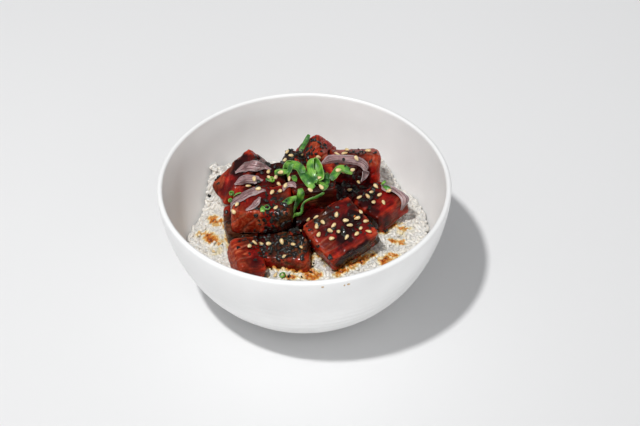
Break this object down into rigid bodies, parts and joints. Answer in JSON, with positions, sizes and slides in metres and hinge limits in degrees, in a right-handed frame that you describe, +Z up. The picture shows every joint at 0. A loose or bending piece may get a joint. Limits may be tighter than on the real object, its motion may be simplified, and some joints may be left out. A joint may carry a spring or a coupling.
{
  "type": "poke bowl",
  "caption": "Round white bowl on a foot ring, filled with rice under a pile of sauced raw tuna pieces with onion slices, spring onion and sesame.",
  "frame": {"origin": "centre of the foot ring, on the surface that the bowl stands on", "axes": "+Z up; -Y faces the viewer of the shown side"},
  "size_m": [0.15, 0.15, 0.074],
  "materials": {
    "bowl_white": "satin white glaze with faint turning rings",
    "rice": "moist cooked rice grains, sauce-stained in places",
    "tuna": "wet raw fish under dark soy glaze",
    "onion": "translucent marinated red onion",
    "spring_onion": "fresh green leaf, slightly waxy"
  },
  "bodies": {
    "root": {"bowl": "bowl_white", "rice": "rice", "tuna_front_left": "tuna", "tuna_middle": "tuna", "tuna_left": "tuna", "tuna_slab": "tuna", "tuna_back_right": "tuna", "tuna_right": "tuna", "tuna_back": "tuna", "tuna_back_left": "tuna", "tuna_front": "tuna", "tuna_front_corner": "tuna", "tuna_top_left": "tuna", "tuna_under_left": "tuna", "tuna_under_middle": "tuna", "tuna_under_right": "tuna", "onion_back_right": "onion", "onion_right": "onion", "onion_left_upper": "onion", "onion_left_lower": "onion", "onion_front_left": "onion", "onion_front_left_inner": "onion", "onion_middle": "onion", "spring_onion_ribbon": "spring_onion", "spring_onion_loop": "spring_onion", "spring_onion_curve": "spring_onion", "spring_onion_tuft": "spring_onion", "spring_onion_leaf": "spring_onion", "spring_onion_side": "spring_onion", "spring_onion_strand": "spring_onion", "spring_onion_back": "spring_onion", "spring_onion_left": "spring_onion"}
  },
  "joints": []
}
